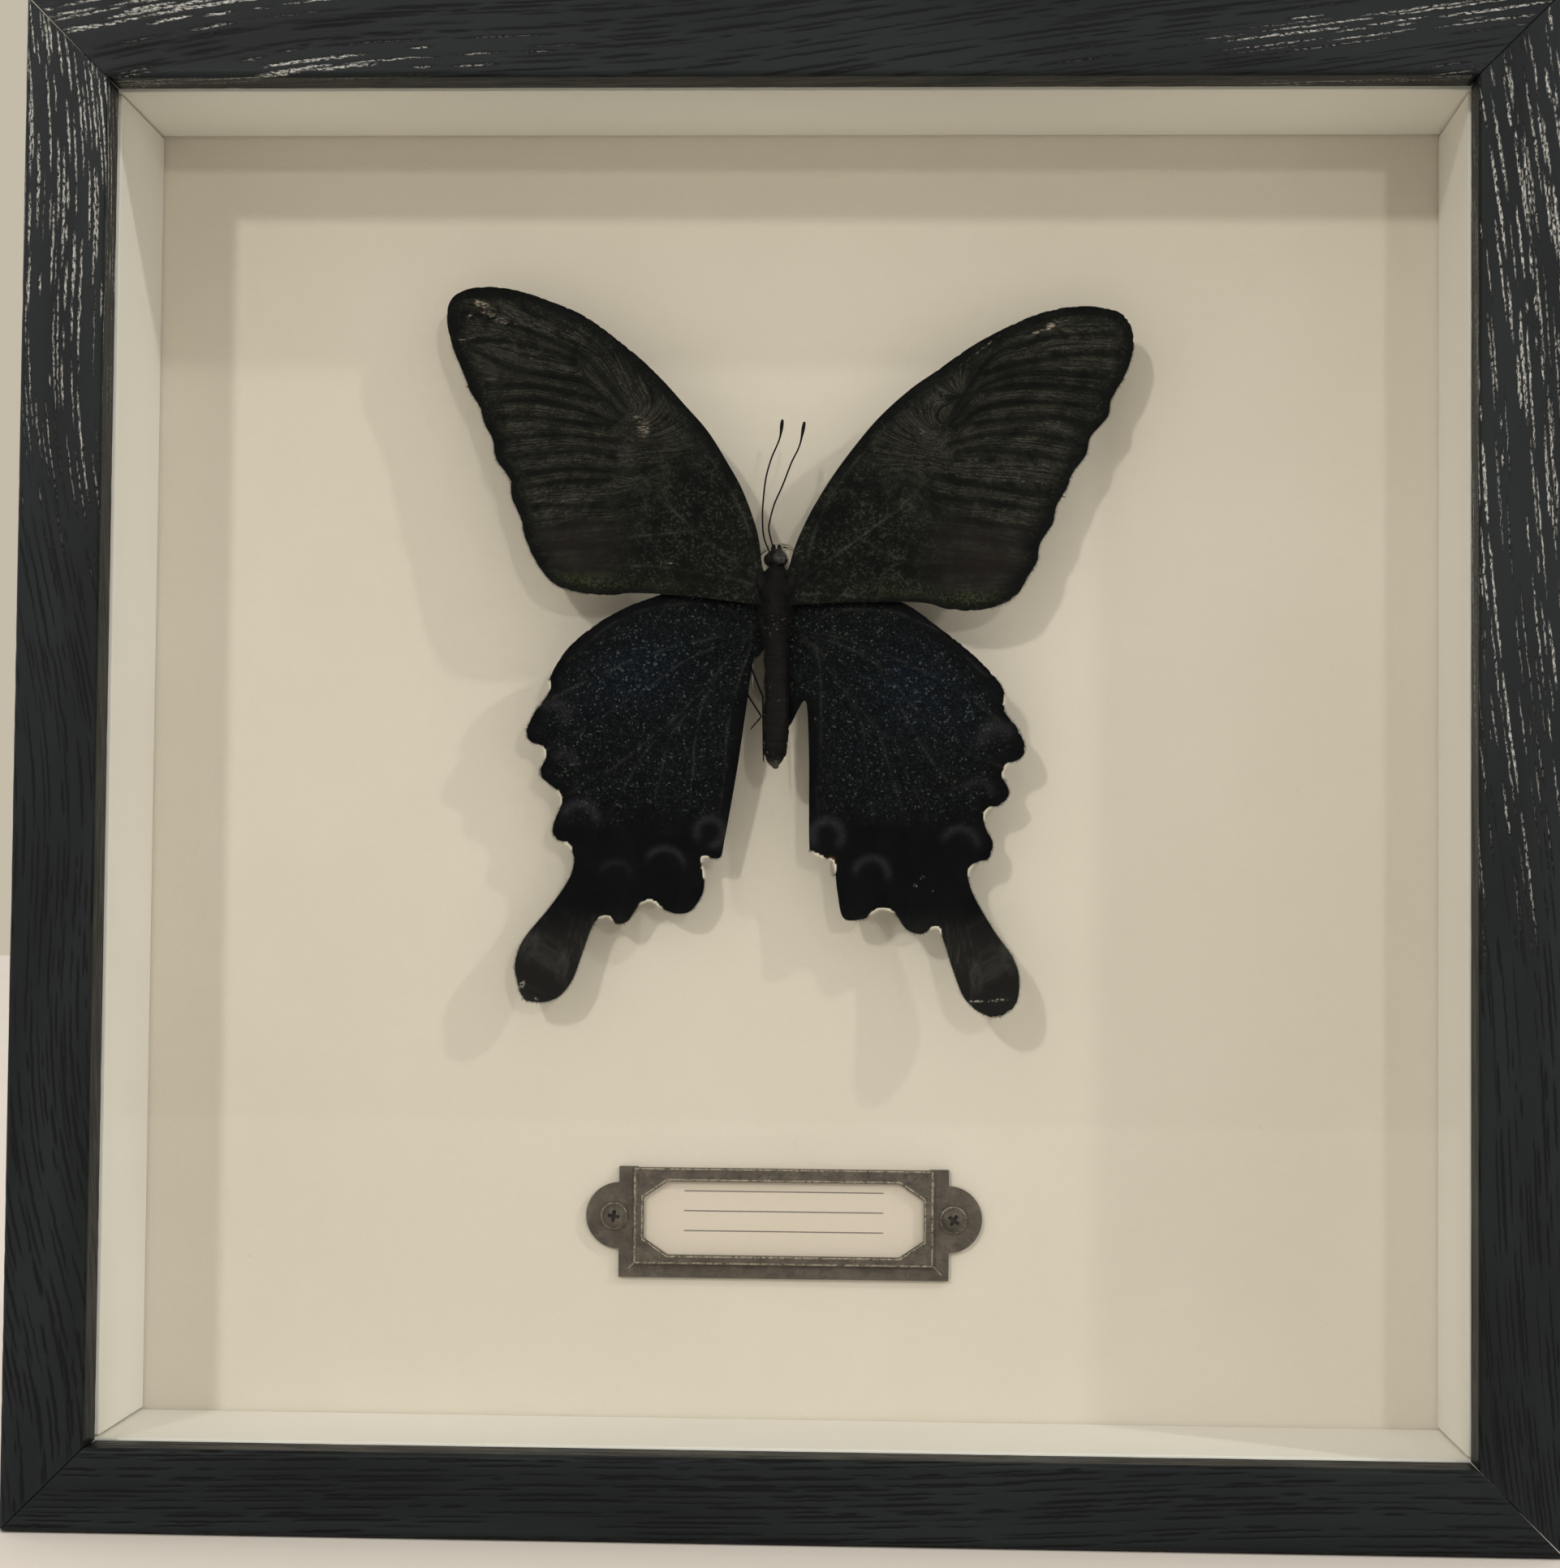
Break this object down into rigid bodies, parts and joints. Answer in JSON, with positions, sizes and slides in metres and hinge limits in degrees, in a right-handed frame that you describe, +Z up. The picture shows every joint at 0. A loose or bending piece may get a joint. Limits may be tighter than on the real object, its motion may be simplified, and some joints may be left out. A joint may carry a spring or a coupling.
{
  "type": "framed butterfly specimen",
  "caption": "Black swallowtail butterfly with spread wings, mounted over a cream mat above a small blank label holder, behind glass in a deep square black wood box frame.",
  "frame": {"origin": "middle of the underside of the bottom rail, halfway through the frame's depth", "axes": "+Z up, the front with its glass faces -Y, +X to the right seen from the front"},
  "size_m": [0.22, 0.044, 0.22],
  "materials": {
    "black_wood": "black stain over open pores, satin",
    "clear_glass": "clear float glass, polished",
    "white_strip": "matt warm white paper face",
    "cream_board": "matt cream mat board",
    "brown_board": "hardboard, plain",
    "zinc_steel": "zinc plated, dull",
    "dark_bronze": "dark antique bronze, worn bright on the edges",
    "card_stock": "matt card",
    "clear_bar": "clear acrylic",
    "dark_body": "dry, brown-black, fine hairs",
    "forewing_black": "black scales dusted olive green, silky",
    "hindwing_blue_black": "black scales dusted deep blue, silky"
  },
  "bodies": {
    "root": {"frame_rail_top": "black_wood", "frame_rail_bottom": "black_wood", "frame_rail_left": "black_wood", "frame_rail_right": "black_wood", "spacer_top": "white_strip", "spacer_bottom": "white_strip", "spacer_left": "white_strip", "spacer_right": "white_strip", "retaining_tab_top_1": "zinc_steel", "retaining_tab_top_2": "zinc_steel", "retaining_tab_bottom_1": "zinc_steel", "retaining_tab_bottom_2": "zinc_steel", "retaining_tab_left_1": "zinc_steel", "retaining_tab_left_2": "zinc_steel", "retaining_tab_right_1": "zinc_steel", "retaining_tab_right_2": "zinc_steel", "sawtooth_hanger": "zinc_steel", "hanger_nail_1": "zinc_steel", "hanger_nail_2": "zinc_steel", "glass_pane": "clear_glass", "mat_board": "cream_board", "back_panel": "brown_board", "label_holder": "dark_bronze", "label_screw_left": "dark_bronze", "label_screw_right": "dark_bronze", "label_card": "card_stock", "specimen_bar": "clear_bar", "butterfly_body": "dark_body", "antenna_left": "dark_body", "antenna_right": "dark_body", "forewing_left": "forewing_black", "forewing_right": "forewing_black", "hindwing_left": "hindwing_blue_black", "hindwing_right": "hindwing_blue_black", "leg_hind_left": "dark_body", "leg_hind_right": "dark_body", "leg_mid_left": "dark_body", "leg_mid_right": "dark_body", "leg_fore_left": "dark_body", "leg_fore_right": "dark_body"}
  },
  "joints": []
}
